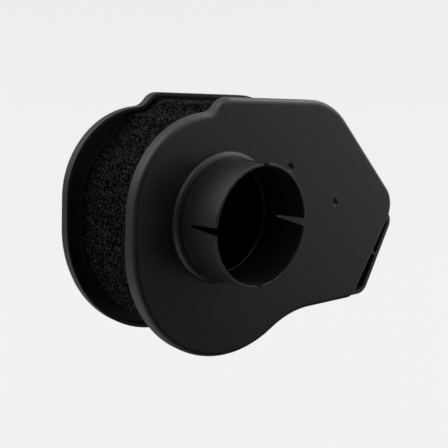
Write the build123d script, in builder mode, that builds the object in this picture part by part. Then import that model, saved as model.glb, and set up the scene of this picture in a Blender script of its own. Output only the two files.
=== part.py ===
from build123d import *
import math
import os

# Air filter housing for a small engine: a front plate with a split clamping collar, a rear cover
# of the same outline, and a two-layer foam element on a moulded cage between them.
# The front plate, collar, tie posts and inlet channel are one moulding on the real housing. They
# are separate solids here that meet face to face.
# Frame: X to the right along the plates, Y to the rear along the collar's axis, Z up.
# The origin is on the collar's axis in the plane of its mouth. Millimetres.

# ---- collar ----
collar_outer_r = 30.0
collar_wall = 1.5
collar_bore_r = collar_outer_r - collar_wall
collar_length = 27.5
collar_cove = 3.4
mouth_round = 0.4
slit_count = 4
slit_mouth_width = 3.9
slit_end_width = 1.1
slit_length = 18.5

# ---- depths along Y ----
face_y = collar_length
plate_thickness = 3.0
skirt_depth = 7.0
rim_gap = 51.5
tray_depth = 6.5
floor_thickness = 2.5
front_rim_y = face_y + skirt_depth
rear_rim_y = front_rim_y + rim_gap
rear_face_y = rear_rim_y + tray_depth
plate_back_y = face_y + plate_thickness
tray_floor_y = rear_face_y - floor_thickness
face_edge_round = 3.0
rear_edge_round = 2.0
skirt_wall = 2.5
tray_wall = 2.2
rim_round = 0.4
bore_ledge = 0.9
bore_edge_round = 0.8
plate_bore_r = collar_bore_r - bore_ledge

# ---- outline of the plates, in X and Z ----
top_z = 59.0
lower_z = -57.4
left_x = -54.6
lobe_r = 62.8
lobe_z = -10.8
shoulder_r = 47.0
shoulder_z = 4.4
hollow_r = 60.0
foot_angle = 96.0
bump_r = 10.0
top_corner = (77.3, top_z)
tip_corner = (142.8, -1.2)
low_corner = (107.7, lower_z)
top_corner_r = 42.0
tip_corner_r = 16.0
low_corner_r = 8.0

# ---- inlet channel outside the lower right edge ----
channel_front_y = face_y + 2.5
channel_rear_y = rear_rim_y - 0.3
channel_wall = 2.8
channel_points = [(128.0, -5.0), (143.8, -9.5), (120.2, -56.6), (98.0, -56.6)]
channel_top_r = 7.0
channel_low_r = 9.0
channel_lap = 1.0
rib_point = (128.0, -33.0)
rib_thickness = 2.0
rib_length = 30.0
rib_depth = 12.0

# ---- filter element ----
element_inset = 3.5
element_left_x = -45.0
element_low_r = 55.5
element_low_z = -12.0
element_top_r = 42.0
outer_foam_t = 8.0
inner_foam_t = 3.6
cage_t = 2.4
layer_gap = 0.3
gasket_t = 1.5
element_front_y = plate_back_y + gasket_t
element_rear_y = tray_floor_y - gasket_t
cage_rows = 4
cage_row_pitch = 13.0
cage_window = (8.0, 10.0)
cage_window_pitch = 11.5
cage_window_columns = 13
cage_first_x = -25.0
cage_left_windows = 6
cage_first_z = -37.0
locating_rib_t = 1.6
locating_rib_height = 2.5
locating_rib_gap = 0.5
locating_rib_x = 32.0

# ---- tie posts and fasteners ----
post_points = [(45.5, 23.5), (84.0, 2.0)]
post_r = 5.0
post_base_r = 7.0
post_base_height = 8.0
seal_t = 1.0
boss_r = 7.0
boss_height = 2.0
boss_root = 0.5
post_end_y = tray_floor_y - boss_height - seal_t
insert_r = 3.2
insert_length = 10.0
insert_bore_r = 2.5
pilot_r = 2.7
pilot_depth = 22.0
screw_r = 2.4
screw_length = 17.5
screw_point = 0.5
head_r = 4.75
head_height = 2.7
head_round = 1.6
socket_width = 3.0
socket_depth = 1.6
washer_r = 5.5
washer_t = 1.0
seat_r = 6.2
seat_depth = 2.0
clearance_r = 2.75
seat_y = rear_face_y - seat_depth
dimple_r = 2.4
dimple_depth = 1.3
dimple_sphere_r = (dimple_r**2 + dimple_depth**2) / (2 * dimple_depth)


def at_depth(y):
    """The plane across the housing at depth y, with local axes along X and Z."""
    return Plane.XZ.offset(-y)


def polar(centre, radius, degrees):
    """The point at an angle on a circle in the plane of the plates."""
    turn = math.radians(degrees)
    return (centre[0] + radius * math.cos(turn), centre[1] + radius * math.sin(turn))


def plate_outline():
    """The outline shared by both plates, as a face in local X and Z."""
    lobe = (left_x + lobe_r, lobe_z)
    shoulder = (left_x + shoulder_r, shoulder_z)
    drop = lobe_z - (lower_z - hollow_r)
    hollow = (lobe[0] + math.sqrt((lobe_r + hollow_r) ** 2 - drop**2), lower_z - hollow_r)
    lobe_end = math.degrees(math.atan2(hollow[1] - lobe[1], hollow[0] - lobe[0]))
    foot = polar(shoulder, shoulder_r + bump_r, foot_angle)
    rise = foot[1] - (top_z - bump_r)
    crest = (foot[0] + math.sqrt((2 * bump_r) ** 2 - rise**2), top_z - bump_r)
    crest_end = math.degrees(math.atan2(rise, foot[0] - crest[0]))
    with BuildSketch(mode=Mode.PRIVATE) as sketch:
        with BuildLine():
            Polyline((crest[0], top_z), top_corner, tip_corner, low_corner, (hollow[0], lower_z))
            CenterArc(hollow, hollow_r, 90, 90 + lobe_end)
            CenterArc(lobe, lobe_r, lobe_end, -180 - lobe_end)
            Line((left_x, lobe_z), (left_x, shoulder_z))
            CenterArc(shoulder, shoulder_r, 180, foot_angle - 180)
            CenterArc(foot, bump_r, foot_angle - 180, crest_end - foot_angle)
            CenterArc(crest, bump_r, crest_end, 90 - crest_end)
        make_face()
        for corner, radius in (
            (top_corner, top_corner_r),
            (tip_corner, tip_corner_r),
            (low_corner, low_corner_r),
        ):
            fillet(sketch.vertices().sort_by_distance(corner)[0], radius)
    return sketch.sketch


outline = plate_outline()


def inset_outline(distance):
    """The plates' outline moved inwards."""
    with BuildSketch(mode=Mode.PRIVATE) as sketch:
        add(outline)
        offset(amount=-distance)
    return sketch.sketch


def channel_outline():
    """The outer boundary of the inlet channel, which overlaps the plates' outline."""
    with BuildSketch(mode=Mode.PRIVATE) as sketch:
        with BuildLine():
            Polyline(*channel_points, close=True)
        make_face()
        fillet(sketch.vertices().sort_by_distance(channel_points[1])[0], channel_top_r)
        fillet(sketch.vertices().sort_by_distance(channel_points[2])[0], channel_low_r)
    return sketch.sketch


def element_outline():
    """The outside of the foam: inside the rims, and further in round the left-hand side."""
    low = (element_left_x + element_low_r, element_low_z)
    top = (element_left_x + element_top_r, 0)
    slope_start = polar(top, element_top_r, 135)
    reach = top_z + element_inset
    right = tip_corner[0] + element_inset
    bottom = element_low_z - element_low_r
    with BuildSketch(mode=Mode.PRIVATE) as sketch:
        with BuildLine():
            CenterArc(low, element_low_r, 180, 90)
            Polyline(
                (low[0], bottom),
                (right, bottom),
                (right, reach),
                (slope_start[0] + reach - slope_start[1], reach),
                slope_start,
            )
            CenterArc(top, element_top_r, 135, 45)
            Line((element_left_x, 0), (element_left_x, element_low_z))
        make_face()
        add(inset_outline(element_inset), mode=Mode.INTERSECT)
    return sketch.sketch


channel = channel_outline()
element = element_outline()


def band(start, thickness):
    """A closed band that follows the element's outline, from start inwards by thickness."""
    with BuildSketch(mode=Mode.PRIVATE) as sketch:
        add(element)
        if start > 0:
            offset(amount=-start)
        with BuildSketch(mode=Mode.PRIVATE) as inside:
            add(element)
            offset(amount=-(start + thickness))
        add(inside.sketch, mode=Mode.SUBTRACT)
    return sketch.sketch


inner_foam_start = outer_foam_t + layer_gap
cage_start = inner_foam_start + inner_foam_t + layer_gap
element_t = cage_start + cage_t

# Front plate: the face with its deep rim, the ledge that stops the engine's stub, and the ribs that
# locate the element.
with BuildPart() as front_plate:
    with BuildSketch(at_depth(face_y)):
        add(outline)
    extrude(amount=-skirt_depth)
    fillet(front_plate.edges().group_by(Axis.Y)[0], face_edge_round)
    with BuildSketch(at_depth(plate_back_y)):
        add(inset_outline(skirt_wall))
    extrude(amount=-skirt_depth, mode=Mode.SUBTRACT)
    fillet(front_plate.edges().group_by(Axis.Y)[-1], rim_round)
    with BuildSketch(at_depth(plate_back_y)):
        add(band(element_t + locating_rib_gap, locating_rib_t))
        with Locations((locating_rib_x, 0)):
            Rectangle(2 * tip_corner[0], 4 * top_z, align=(Align.MIN, Align.CENTER), mode=Mode.INTERSECT)
    extrude(amount=-locating_rib_height)
    with BuildSketch(at_depth(face_y)):
        Circle(plate_bore_r)
    extrude(amount=-plate_thickness, mode=Mode.SUBTRACT)
    bore_edges = front_plate.edges().filter_by(
        lambda edge: edge.geom_type == GeomType.CIRCLE and abs(edge.radius - plate_bore_r) < 0.01
    )
    fillet(bore_edges, bore_edge_round)
    dimple_centre_y = face_y + dimple_depth - dimple_sphere_r
    with Locations(*[(x, dimple_centre_y, z) for x, z in post_points]):
        Sphere(dimple_sphere_r, mode=Mode.SUBTRACT)

front_plate.part.label = "front_plate"

# Collar: a plain tube with a cove at its root and four tapered slits that let a clamp close it.
with BuildPart() as collar:
    with BuildSketch(Plane.XY):
        with BuildLine():
            Polyline(
                (collar_outer_r, face_y - collar_cove),
                (collar_outer_r, 0),
                (collar_bore_r, 0),
                (collar_bore_r, face_y),
                (collar_outer_r + collar_cove, face_y),
            )
            RadiusArc(
                (collar_outer_r + collar_cove, face_y),
                (collar_outer_r, face_y - collar_cove),
                collar_cove,
            )
        make_face()
    revolve(axis=Axis.Y)
    fillet(collar.edges().filter_by(GeomType.CIRCLE).group_by(Axis.Y)[0], mouth_round)
    for number in range(slit_count):
        turn = math.radians(number * 360 / slit_count)
        outward = Vector(math.cos(turn), 0, math.sin(turn))
        across = Vector(math.sin(turn), 0, -math.cos(turn))
        with BuildSketch(Plane(origin=(0, 0, 0), x_dir=across, z_dir=outward)):
            with BuildLine():
                Polyline(
                    (-slit_mouth_width / 2, -1),
                    (slit_mouth_width / 2, -1),
                    (slit_end_width / 2, slit_length),
                    (-slit_end_width / 2, slit_length),
                    close=True,
                )
            make_face()
            with Locations((0, slit_length)):
                Circle(slit_end_width / 2)
        extrude(amount=collar_outer_r + 1, mode=Mode.SUBTRACT)

collar.part.label = "collar"

# Tie posts: two tapered feet with tubes that hold the threaded inserts.
with BuildPart() as tie_posts:
    for point in post_points:
        with BuildSketch(at_depth(plate_back_y)):
            with Locations(point):
                Circle(post_base_r)
        with BuildSketch(at_depth(plate_back_y + post_base_height)):
            with Locations(point):
                Circle(post_r)
        loft()
        with BuildSketch(at_depth(plate_back_y)):
            with Locations(point):
                Circle(post_r)
        extrude(amount=-(post_end_y - plate_back_y))
        with BuildSketch(at_depth(post_end_y)):
            with Locations(point):
                Circle(insert_r)
        extrude(amount=insert_length, mode=Mode.SUBTRACT)
        with BuildSketch(at_depth(post_end_y)):
            with Locations(point):
                Circle(pilot_r)
        extrude(amount=pilot_depth, mode=Mode.SUBTRACT)

tie_posts.part.label = "tie_posts"


def channel_wall_sketch(inner_edge):
    """The inlet channel's wall with its ends, outside an inner edge along the plates' outline."""
    with BuildSketch(mode=Mode.PRIVATE) as sketch:
        add(channel)
        with BuildSketch(mode=Mode.PRIVATE) as hollow_space:
            add(channel)
            offset(amount=-channel_wall)
        add(hollow_space.sketch, mode=Mode.SUBTRACT)
        add(inner_edge, mode=Mode.SUBTRACT)
    return sketch.sketch


def rib_sketch(inner_edge):
    """The rib between the two inlet windows, square to the plates' lower right edge."""
    rise = tip_corner[1] - low_corner[1]
    slope = math.degrees(math.atan2(rise, tip_corner[0] - low_corner[0]))
    with BuildSketch(mode=Mode.PRIVATE) as sketch:
        with Locations(Location((rib_point[0], rib_point[1], 0), (0, 0, slope - 90))):
            Rectangle(rib_length, rib_thickness)
        add(channel, mode=Mode.INTERSECT)
        add(inner_edge, mode=Mode.SUBTRACT)
    return sketch.sketch


# Inlet channel: it joins the side of the rim, and laps a little way over the rim behind it.
with BuildPart() as inlet_channel:
    with BuildSketch(at_depth(channel_front_y)):
        add(channel_wall_sketch(outline))
    extrude(amount=-(channel_rear_y - channel_front_y))
    with BuildSketch(at_depth(channel_front_y)):
        add(rib_sketch(outline))
    extrude(amount=-rib_depth)
    with BuildSketch(at_depth(front_rim_y)):
        add(channel_wall_sketch(inset_outline(channel_lap)))
    extrude(amount=-(channel_rear_y - front_rim_y))

inlet_channel.part.label = "inlet_channel"

# Rear cover: a shallow tray with the front's outline plus the ear that closes the inlet channel.
with BuildPart() as rear_cover:
    with BuildSketch(at_depth(rear_rim_y)):
        add(outline)
        add(channel)
    extrude(amount=-tray_depth)
    fillet(rear_cover.edges().group_by(Axis.Y)[-1], rear_edge_round)
    with BuildSketch(at_depth(rear_rim_y)):
        add(outline)
        add(channel)
        offset(amount=-tray_wall)
    extrude(amount=-(tray_floor_y - rear_rim_y), mode=Mode.SUBTRACT)
    fillet(rear_cover.edges().group_by(Axis.Y)[0], rim_round)
    with BuildSketch(at_depth(tray_floor_y - boss_height)):
        with Locations(*post_points):
            Circle(boss_r)
    extrude(amount=-(boss_height + boss_root))
    with BuildSketch(at_depth(rear_face_y)):
        with Locations(*post_points):
            Circle(seat_r)
    extrude(amount=seat_depth, mode=Mode.SUBTRACT)
    with BuildSketch(at_depth(rear_face_y)):
        with Locations(*post_points):
            Circle(clearance_r)
    extrude(amount=tray_depth, mode=Mode.SUBTRACT)

rear_cover.part.label = "rear_cover"


def element_layer(start, thickness, front_y, rear_y):
    """A closed band of the element from one depth to another."""
    with BuildPart(mode=Mode.PRIVATE) as layer:
        with BuildSketch(at_depth(front_y)):
            add(band(start, thickness))
        extrude(amount=-(rear_y - front_y))
    return layer.part


# Filter element: coarse foam outside, fine foam inside it, and gaskets under both edges.
with BuildPart() as outer_foam:
    add(element_layer(0, outer_foam_t, element_front_y, element_rear_y))

outer_foam.part.label = "outer_foam"

with BuildPart() as inner_foam:
    add(element_layer(inner_foam_start, inner_foam_t, element_front_y, element_rear_y))

inner_foam.part.label = "inner_foam"

with BuildPart() as front_gasket:
    add(element_layer(0, element_t, plate_back_y, element_front_y))

front_gasket.part.label = "front_gasket"

with BuildPart() as rear_gasket:
    add(element_layer(0, element_t, element_rear_y, tray_floor_y))

rear_gasket.part.label = "rear_gasket"

# Cage: a moulded band with rows of windows, which keeps the foam from being drawn inwards.
with BuildPart() as support_cage:
    add(element_layer(cage_start, cage_t, element_front_y, element_rear_y))
    row_centre = (element_front_y + element_rear_y) / 2
    row_offsets = [(row - (cage_rows - 1) / 2) * cage_row_pitch for row in range(cage_rows)]
    # Upright windows through the top and bottom runs.
    for index in range(cage_window_columns):
        x = cage_first_x + index * cage_window_pitch
        with BuildSketch(Plane.XY.offset(2 * lower_z)):
            with Locations(*[(x, row_centre + row) for row in row_offsets]):
                Rectangle(*cage_window)
        extrude(amount=2 * (top_z - lower_z), mode=Mode.SUBTRACT)
    # Windows through the run on the left.
    for index in range(cage_left_windows):
        z = cage_first_z + index * cage_window_pitch
        with BuildSketch(Plane.YZ.offset(left_x)):
            with Locations(*[(row_centre + row, z) for row in row_offsets]):
                Rectangle(cage_window[1], cage_window[0])
        extrude(amount=element_left_x - left_x + element_t + 1, mode=Mode.SUBTRACT)

support_cage.part.label = "support_cage"


def rings(outer_r, inner_r, start_y, end_y):
    """One ring on each tie post's axis."""
    with BuildPart(mode=Mode.PRIVATE) as pair:
        with BuildSketch(at_depth(start_y)):
            with Locations(*post_points):
                Circle(outer_r)
                Circle(inner_r, mode=Mode.SUBTRACT)
        extrude(amount=-(end_y - start_y))
    return pair.part


with BuildPart() as threaded_inserts:
    add(rings(insert_r, insert_bore_r, post_end_y - insert_length, post_end_y))

threaded_inserts.part.label = "threaded_inserts"

with BuildPart() as post_seals:
    add(rings(post_r, pilot_r, post_end_y, post_end_y + seal_t))

post_seals.part.label = "post_seals"

with BuildPart() as screw_washers:
    add(rings(washer_r, clearance_r, seat_y, seat_y + washer_t))

screw_washers.part.label = "screw_washers"


def tie_screw(point):
    """A button-head screw with a hexagon socket, entering from the rear."""
    head_y = seat_y + washer_t
    with BuildPart(mode=Mode.PRIVATE) as screw:
        with BuildSketch(at_depth(head_y)):
            with Locations(point):
                Circle(head_r)
        extrude(amount=-head_height)
        fillet(screw.edges().group_by(Axis.Y)[-1], head_round)
        with BuildSketch(at_depth(head_y)):
            with Locations(point):
                Circle(screw_r)
        extrude(amount=screw_length)
        chamfer(screw.edges().group_by(Axis.Y)[0], screw_point)
        with BuildSketch(at_depth(head_y + head_height)):
            with Locations(point):
                RegularPolygon(socket_width / 2, 6, major_radius=False)
        extrude(amount=socket_depth, mode=Mode.SUBTRACT)
    return screw.part


with BuildPart() as upper_screw:
    add(tie_screw(post_points[0]))

upper_screw.part.label = "upper_screw"

with BuildPart() as lower_screw:
    add(tie_screw(post_points[1]))

lower_screw.part.label = "lower_screw"

os.makedirs("parts", exist_ok=True)
for piece in (
    front_plate,
    collar,
    tie_posts,
    inlet_channel,
    rear_cover,
    outer_foam,
    inner_foam,
    support_cage,
    front_gasket,
    rear_gasket,
    threaded_inserts,
    post_seals,
    screw_washers,
    upper_screw,
    lower_screw,
):
    export_step(piece.part, "parts/" + piece.part.label + ".step")
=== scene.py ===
import math

import bpy
import numpy as np
from mathutils import Matrix, Vector, noise


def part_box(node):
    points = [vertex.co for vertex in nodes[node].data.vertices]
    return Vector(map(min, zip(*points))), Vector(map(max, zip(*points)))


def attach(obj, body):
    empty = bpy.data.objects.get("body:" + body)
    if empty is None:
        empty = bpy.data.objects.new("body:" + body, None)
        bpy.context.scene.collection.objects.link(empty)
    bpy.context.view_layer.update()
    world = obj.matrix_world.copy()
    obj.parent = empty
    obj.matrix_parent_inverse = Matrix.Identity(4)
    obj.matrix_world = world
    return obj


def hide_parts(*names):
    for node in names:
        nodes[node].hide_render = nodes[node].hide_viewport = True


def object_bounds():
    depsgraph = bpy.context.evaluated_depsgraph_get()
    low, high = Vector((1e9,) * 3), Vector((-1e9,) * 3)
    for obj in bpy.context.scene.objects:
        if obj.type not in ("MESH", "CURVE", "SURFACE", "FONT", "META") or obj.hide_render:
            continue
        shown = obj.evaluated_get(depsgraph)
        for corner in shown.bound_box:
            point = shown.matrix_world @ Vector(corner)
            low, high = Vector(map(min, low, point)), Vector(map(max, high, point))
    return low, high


# Looks of the air filter housing: moulded black plastic, reticulated foam, rubber, brass and steel.
# Everything is in metres, in the frame of the CAD model: the collar's mouth is at the origin.

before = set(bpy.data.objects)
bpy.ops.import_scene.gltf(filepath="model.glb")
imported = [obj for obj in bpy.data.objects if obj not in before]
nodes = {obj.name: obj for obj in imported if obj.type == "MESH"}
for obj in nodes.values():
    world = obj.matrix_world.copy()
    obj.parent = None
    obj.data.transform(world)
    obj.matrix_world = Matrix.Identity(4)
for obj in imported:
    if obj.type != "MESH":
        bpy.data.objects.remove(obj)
cad_low, cad_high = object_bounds()
centre = (cad_low + cad_high) / 2

# ---- camera: angles in degrees, lens and sensor in millimetres ----
CAMERA_PLACE = Vector((-0.2572, -0.2569, 0.0663))
CAMERA_TURN = 42.12
CAMERA_DIP = 10.29
CAMERA_TILT = -2.84
CAMERA_LENS = 62.93
SENSOR_WIDTH = 36.0
CLIP_START = 0.01
CLIP_END = 50

# ---- floor and wall ----
FLOOR_SHADE = 0.06
FLOOR_GLOW = 0.81
FLOOR_DROP = 0.18
FLOOR_INNER_RADIUS = 1.2
FLOOR_RADIUS = 2.4
WALL_BEND = 1.6
WALL_BEND_STEPS = 12
WALL_HEIGHT = 4.0
STUDIO_SIDES = 96

# ---- light: a direction is an azimuth from +Y towards +X and an elevation, in degrees ----
ROOM_TINT = (1, 0.98, 0.945)
ROOM_LIGHT = 0.045
# Each glow has an azimuth, an elevation, a strength and a sharpness, which is higher for a narrower glow.
ROOM_GLOWS = [
    (105, 38, 1.6, 3.0),
    (-62, 46, 2.4, 5.0),
    (-80, -55, 1.0, 4.0),
    (90, 88, 0.5, 4.0),
    (10, -8, 0.28, 2.5),
]
KEY_DIRECTION = (95, 48)
KEY_DISTANCE = 1.6
KEY_SIZE = (0.7, 0.7)
KEY_RADIANCE = 1.6

# ---- sockets of a Mix node that mixes colours ----
MIX_FIRST = 6
MIX_SECOND = 7
MIX_RESULT = 2


def photo_camera():
    """A camera at the photograph's viewing angle."""
    turn, dip, tilt = (math.radians(angle) for angle in (CAMERA_TURN, CAMERA_DIP, CAMERA_TILT))
    forward = Vector((math.sin(turn) * math.cos(dip), math.cos(turn) * math.cos(dip), -math.sin(dip)))
    level = Vector((math.cos(turn), -math.sin(turn), 0))
    below = forward.cross(level)
    right = level * math.cos(tilt) + below * math.sin(tilt)
    up = level * math.sin(tilt) - below * math.cos(tilt)
    data = bpy.data.cameras.new("photo_camera")
    data.lens = CAMERA_LENS
    data.sensor_width = SENSOR_WIDTH
    data.clip_start, data.clip_end = CLIP_START, CLIP_END
    camera = bpy.data.objects.new("photo_camera", data)
    facing = Matrix((right, up, -forward)).transposed().to_4x4()
    camera.matrix_world = Matrix.Translation(CAMERA_PLACE) @ facing
    bpy.context.scene.collection.objects.link(camera)
    bpy.context.scene.camera = camera


def link(name, data):
    """A new object in the scene."""
    made = bpy.data.objects.new(name, data)
    bpy.context.scene.collection.objects.link(made)
    return made


def coat(mesh, material):
    """Gives a mesh one material."""
    mesh.materials.clear()
    mesh.materials.append(material)


def join(tree, value, socket):
    """Feeds a socket from another socket, or sets it to a plain value."""
    if isinstance(value, bpy.types.NodeSocket):
        tree.links.new(value, socket)
    else:
        socket.default_value = value


def calculate(tree, operation, *values):
    """The result of a math node fed by sockets or plain numbers."""
    node = tree.nodes.new("ShaderNodeMath")
    node.operation = operation
    for value, socket in zip(values, node.inputs):
        join(tree, value, socket)
    return node.outputs[0]


# ---------------------------------------------------------------- studio


def glow_material(name, shade, glow):
    """A pale surface that mostly glows, so that it stays even."""
    material = bpy.data.materials.new(name)
    material.use_nodes = True
    shader = material.node_tree.nodes["Principled BSDF"]
    shader.inputs["Base Color"].default_value = (shade, shade, shade, 1)
    shader.inputs["Roughness"].default_value = 1.0
    shader.inputs["Specular IOR Level"].default_value = 0.0
    shader.inputs["Emission Color"].default_value = (1, 1, 1, 1)
    shader.inputs["Emission Strength"].default_value = glow
    return material


def studio_profile():
    """The radius and height of each ring of the floor and wall, from the middle outwards."""
    profile = [(FLOOR_INNER_RADIUS, 0.0), (FLOOR_RADIUS, 0.0)]
    for step in range(1, WALL_BEND_STEPS + 1):
        angle = math.radians(step * 90 / WALL_BEND_STEPS)
        outwards, upwards = math.sin(angle), 1 - math.cos(angle)
        profile.append((FLOOR_RADIUS + WALL_BEND * outwards, WALL_BEND * upwards))
    profile.append((FLOOR_RADIUS + WALL_BEND, WALL_HEIGHT))
    return profile


def studio():
    """A round pale floor that curves up into a pale wall, far enough away for a camera on any side."""
    level = cad_low.z - FLOOR_DROP
    profile = studio_profile()
    points, faces = [], []
    for radius, height in profile:
        for side in range(STUDIO_SIDES):
            angle = 2 * math.pi * side / STUDIO_SIDES
            x = centre.x + radius * math.cos(angle)
            y = centre.y + radius * math.sin(angle)
            points.append((x, y, level + height))
    hub = len(points)
    points.append((centre.x, centre.y, level))
    for side in range(STUDIO_SIDES):
        after = (side + 1) % STUDIO_SIDES
        faces.append((hub, side, after))
        for ring in range(len(profile) - 1):
            inner = ring * STUDIO_SIDES
            outer = inner + STUDIO_SIDES
            faces.append((inner + side, outer + side, outer + after, inner + after))
    mesh = bpy.data.meshes.new("studio_floor")
    mesh.from_pydata(points, [], faces)
    mesh.shade_smooth()
    coat(mesh, glow_material("pale_floor", FLOOR_SHADE, FLOOR_GLOW))
    floor = link("studio_floor", mesh)
    floor.visible_diffuse = False
    floor.visible_glossy = False
    floor.visible_transmission = False
    floor.visible_shadow = False


def softbox(name, place, target, size, radiance):
    """A rectangular soft light whose face has the given brightness."""
    data = bpy.data.lights.new(name, "AREA")
    data.shape = "RECTANGLE"
    data.size, data.size_y = size
    data.energy = radiance * math.pi * size[0] * size[1]
    light = link(name, data)
    light.location = place
    light.rotation_mode = "QUATERNION"
    light.rotation_quaternion = (target - place).to_track_quat("-Z", "Y")
    light.visible_camera = False


def toward(azimuth, elevation):
    """The direction at an azimuth from +Y towards +X and an elevation, in degrees."""
    turn, rise = math.radians(azimuth), math.radians(elevation)
    return Vector((math.sin(turn) * math.cos(rise), math.cos(turn) * math.cos(rise), math.sin(rise)))


def surroundings():
    """The room as the object sees it: an even grey with broad soft glows."""
    world = bpy.data.worlds.new("room")
    world.use_nodes = True
    bpy.context.scene.world = world
    tree = world.node_tree
    looking = tree.nodes.new("ShaderNodeTexCoord").outputs["Generated"]
    total = ROOM_LIGHT
    for azimuth, elevation, strength, sharpness in ROOM_GLOWS:
        facing = tree.nodes.new("ShaderNodeVectorMath")
        facing.operation = "DOT_PRODUCT"
        tree.links.new(looking, facing.inputs[0])
        facing.inputs[1].default_value = toward(azimuth, elevation)
        front = calculate(tree, "MAXIMUM", facing.outputs["Value"], 0.0)
        shaped = calculate(tree, "POWER", front, sharpness)
        total = calculate(tree, "MULTIPLY_ADD", shaped, strength, total)
    background = tree.nodes["Background"]
    background.inputs["Color"].default_value = (*ROOM_TINT, 1)
    tree.links.new(total, background.inputs["Strength"])


# ---------------------------------------------------------------- materials


class Nodes:
    """Short ways to add and join shader nodes in one material."""

    def __init__(self, name):
        self.material = bpy.data.materials.new(name)
        self.material.use_nodes = True
        self.tree = self.material.node_tree
        self.shader = self.tree.nodes["Principled BSDF"]
        self.place = self.tree.nodes.new("ShaderNodeTexCoord").outputs["Object"]

    def add(self, kind, links=None, **values):
        """A node with its properties set from values and its sockets fed from links."""
        node = self.tree.nodes.new(kind)
        for key, value in values.items():
            setattr(node, key, value)
        for key, value in (links or {}).items():
            join(self.tree, value, node.inputs[key])
        return node

    def noise(self, scale, detail=2.0, roughness=0.5, place=None):
        """Plain noise; scale is in features per metre."""
        links = {"Vector": place or self.place, "Scale": scale, "Detail": detail, "Roughness": roughness}
        return self.add("ShaderNodeTexNoise", links).outputs["Fac"]

    def between(self, value, low, high, start=0.0, end=1.0):
        """value, from the range low to high, mapped to the range start to end."""
        links = {"Value": value, "From Min": low, "From Max": high, "To Min": start, "To Max": end}
        return self.add("ShaderNodeMapRange", links).outputs["Result"]

    def product(self, first, second):
        """One value times another."""
        return calculate(self.tree, "MULTIPLY", first, second)

    def total(self, first, second):
        """One value plus another."""
        return calculate(self.tree, "ADD", first, second)

    def ramp(self, value, first, second):
        """A colour between two fixed colours."""
        node = self.add("ShaderNodeValToRGB", {"Fac": value})
        node.color_ramp.elements[0].color = (*first, 1)
        node.color_ramp.elements[1].color = (*second, 1)
        return node.outputs["Color"]

    def over(self, factor, below, above):
        """A fixed colour laid over a varying one, as far as factor says."""
        links = {"Factor": factor, MIX_FIRST: below, MIX_SECOND: (*above, 1)}
        return self.add("ShaderNodeMix", links, data_type="RGBA").outputs[MIX_RESULT]

    def bump(self, height, strength, distance, normal=None):
        """A bump from a height of 0 to 1, distance deep in metres."""
        links = {"Height": height, "Strength": strength, "Distance": distance}
        if normal:
            links["Normal"] = normal
        return self.add("ShaderNodeBump", links).outputs["Normal"]

    def pointiness(self):
        """How far the surface bulges, about 0.5 where it is flat."""
        return self.add("ShaderNodeNewGeometry").outputs["Pointiness"]

    def set(self, **values):
        """Sets or joins the shader's own sockets; underscores stand for spaces."""
        for key, value in values.items():
            join(self.tree, value, self.shader.inputs[key.replace("_", " ")])


def scaled(colour, share):
    """A colour made darker or paler."""
    return tuple(share * channel for channel in colour)


def grey(shade):
    """A neutral colour."""
    return (shade,) * 3


def black_plastic(name, shade, rough, grain):
    """Moulded black plastic: fine grain, faint flow clouds, dust in the grain and paler worn edges.

    Scales are in features per metre, and the grain's depth is in metres.
    """
    warm_tint = (1.02, 1.0, 0.97)
    dust_colour = (0.16, 0.155, 0.145)
    cloud_scale, wear_scale, dust_scale = 28, 420, 2600
    grain_depth = 0.00004
    cloud_gloss, grain_gloss = 0.035, 0.03
    dark, pale, worn_pale = shade * 0.88, shade * 1.14, shade * 2.0

    made = Nodes(name)
    clouds = made.noise(cloud_scale, 3.0, 0.55)
    grains = made.noise(grain, 3.0, 0.6)
    specks = made.noise(dust_scale, 1.0)
    colour = made.ramp(clouds, scaled(warm_tint, dark), scaled(warm_tint, pale))
    edges = made.between(made.pointiness(), 0.52, 0.60)
    patches = made.between(made.noise(wear_scale, 2.0), 0.42, 0.7)
    colour = made.over(made.product(edges, patches), colour, scaled(warm_tint, worn_pale))
    colour = made.over(made.between(specks, 0.66, 0.74, 0.0, 0.18), colour, dust_colour)
    cloudy = made.between(clouds, 0.3, 0.7, rough - cloud_gloss, rough + cloud_gloss)
    fine = made.between(grains, 0.3, 0.7, -grain_gloss, grain_gloss)
    normal = made.bump(grains, 0.35, grain_depth)
    made.set(Base_Color=colour, Roughness=made.total(cloudy, fine), Normal=normal, IOR=1.5)
    return made.material


def open_foam(name, strut, painted_pore_shade, cell):
    """Reticulated foam: dull black struts, with painted shade making the pores near-black and painted
    glints on some struts; cell is in cells per metre.
    """
    fuzz_scale = cell * 2.6
    pore_depth, fuzz_depth = 0.0010, 0.0004
    pit_rough, strut_rough = 0.95, 0.5

    made = Nodes(name)
    fuzz = made.noise(fuzz_scale, 2.0, 0.6)
    # specks makes a random share of the struts paler: partly their own tone, partly painted glints.
    specks = made.between(made.noise(cell, 1.0, 0.5), 0.47, 0.60)
    links = {"Vector": made.place, "Scale": cell}
    pores = made.add("ShaderNodeTexVoronoi", links, feature="F1").outputs["Distance"]
    # The colour darkens towards each pore's middle: painted shade in the pores, laid over the real cell
    # dents.
    pore_shade_mask = made.between(pores, 0.12, 0.50, 0.15, 1.0)
    lit = made.product(pore_shade_mask, specks)
    colour = made.ramp(lit, grey(painted_pore_shade), grey(strut))
    normal = made.bump(pores, 1.0, pore_depth)
    normal = made.bump(fuzz, 0.7, fuzz_depth, normal)
    made.set(Base_Color=colour, Roughness=made.between(lit, 0.0, 0.8, pit_rough, strut_rough))
    made.set(Normal=normal, IOR=1.45, Specular_IOR_Level=0.07)
    return made.material


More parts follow.
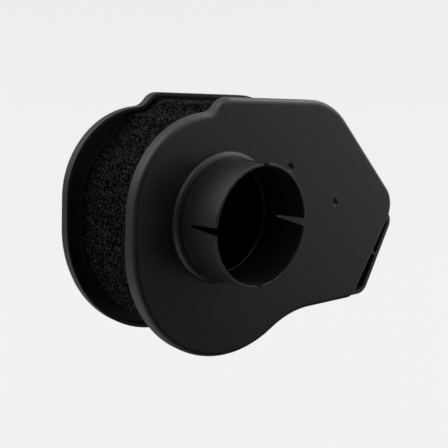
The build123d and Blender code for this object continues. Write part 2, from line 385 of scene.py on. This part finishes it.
def rubber(name, shade):
    """Sponge rubber: dull, with a skin of fine pores and paler chalky patches."""
    pore_scale, chalk_scale = 1900, 60
    pore_depth = 0.0002

    made = Nodes(name)
    pores = made.noise(pore_scale, 2.0)
    chalk = made.between(made.noise(chalk_scale, 4.0), 0.45, 0.75)
    colour = made.ramp(chalk, grey(shade), grey(shade * 1.8))
    normal = made.bump(pores, 0.5, pore_depth)
    made.set(Base_Color=colour, Roughness=made.between(pores, 0.3, 0.7, 0.68, 0.86))
    made.set(Normal=normal, IOR=1.5)
    return made.material


def metal(name, colour, rough, stretch):
    """Turned or plated metal: fine marks, as many per metre each way as stretch says, and stains."""
    stain_scale = 500
    stain_shade = 0.72
    mark_depth = 0.00005

    made = Nodes(name)
    placed = made.add("ShaderNodeMapping", {"Vector": made.place, "Scale": stretch}).outputs["Vector"]
    marks = made.noise(1.0, 3.0, 0.6, placed)
    stains = made.between(made.noise(stain_scale, 4.0), 0.4, 0.75)
    tinted = made.ramp(stains, colour, scaled(colour, stain_shade))
    roughness = made.between(marks, 0.3, 0.7, rough - 0.06, rough + 0.1)
    normal = made.bump(marks, 0.25, mark_depth)
    made.set(Base_Color=tinted, Metallic=1.0, Roughness=roughness, Normal=normal)
    return made.material


# ---------------------------------------------------------------- foam pieces


def cell_walls(point, size):
    """0 in the middle of a foam cell and 1 on the strut between two cells."""
    strut_reach = 0.45
    distances = noise.voronoi(point / size)[0]
    return 1.0 - min(1.0, (distances[1] - distances[0]) / strut_reach)


def remeshed(name, source, voxel):
    """A new object with an even fine mesh of a CAD node's shape."""
    piece = link(name, source.data.copy())
    remesh = piece.modifiers.new("cells", "REMESH")
    remesh.mode = "VOXEL"
    remesh.voxel_size = voxel
    bpy.context.view_layer.update()
    graph = bpy.context.evaluated_depsgraph_get()
    fine = bpy.data.meshes.new_from_object(piece.evaluated_get(graph))
    piece.modifiers.clear()
    piece.data = fine
    return piece


def press_cells(mesh, cell, depth, low, high):
    """Sinks a mesh's surface into foam cells, without leaving the box from low to high."""
    count = len(mesh.vertices)
    places = np.zeros(count * 3, np.float32)
    normals = np.zeros(count * 3, np.float32)
    mesh.vertices.foreach_get("co", places)
    mesh.vertices.foreach_get("normal", normals)
    places, normals = places.reshape(-1, 3), normals.reshape(-1, 3)
    sunk = np.array([depth * (1 - cell_walls(Vector(place), cell)) for place in places])
    places = np.clip(places - normals * sunk[:, None], np.array(low), np.array(high))
    mesh.vertices.foreach_set("co", places.astype(np.float32).ravel())
    mesh.update()
    mesh.shade_smooth()


def foam_piece(name, node, voxel, cell, depth, material):
    """A foam band in the space of its CAD solid, with its cells pressed into the surface."""
    piece = remeshed(name, nodes[node], voxel)
    coat(piece.data, material)
    press_cells(piece.data, cell, depth, *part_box(node))
    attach(piece, "element")
    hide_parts(node)


def paint(material, *names):
    """Gives CAD nodes a material."""
    for name in names:
        coat(nodes[name].data, material)


# ---------------------------------------------------------------- scene

bpy.context.scene.view_settings.view_transform = "Standard"
photo_camera()
studio()
surroundings()
softbox("key_softbox", centre + KEY_DISTANCE * toward(*KEY_DIRECTION), centre, KEY_SIZE, KEY_RADIANCE)

housing_plastic = black_plastic("housing_plastic", shade=0.0065, rough=0.38, grain=3200)
cover_plastic = black_plastic("cover_plastic", shade=0.0065, rough=0.40, grain=3200)
cage_plastic = black_plastic("cage_plastic", shade=0.009, rough=0.5, grain=2600)
gasket_rubber = rubber("gasket_rubber", shade=0.006)
insert_brass = metal("insert_brass", colour=(0.72, 0.55, 0.28), rough=0.3, stretch=(300, 4000, 300))
screw_steel = metal("screw_steel", colour=(0.55, 0.55, 0.56), rough=0.28, stretch=(2500, 600, 2500))
washer_steel = metal("washer_steel", colour=(0.6, 0.6, 0.6), rough=0.34, stretch=(2500, 400, 2500))
paint(housing_plastic, "front_plate", "collar", "tie_posts", "inlet_channel")
paint(cover_plastic, "rear_cover")
paint(cage_plastic, "support_cage")
paint(gasket_rubber, "front_gasket", "rear_gasket", "post_seals")
paint(insert_brass, "threaded_inserts")
paint(screw_steel, "upper_screw", "lower_screw")
paint(washer_steel, "screw_washers")

foam_piece(
    "coarse_foam_band",
    "outer_foam",
    voxel=0.00087,
    cell=0.0018,
    depth=0.0013,
    material=open_foam("coarse_foam", strut=0.026, painted_pore_shade=0.0001, cell=840),
)
foam_piece(
    "fine_foam_band",
    "inner_foam",
    voxel=0.0012,
    cell=0.0022,
    depth=0.0004,
    material=open_foam("fine_foam", strut=0.05, painted_pore_shade=0.006, cell=1500),
)
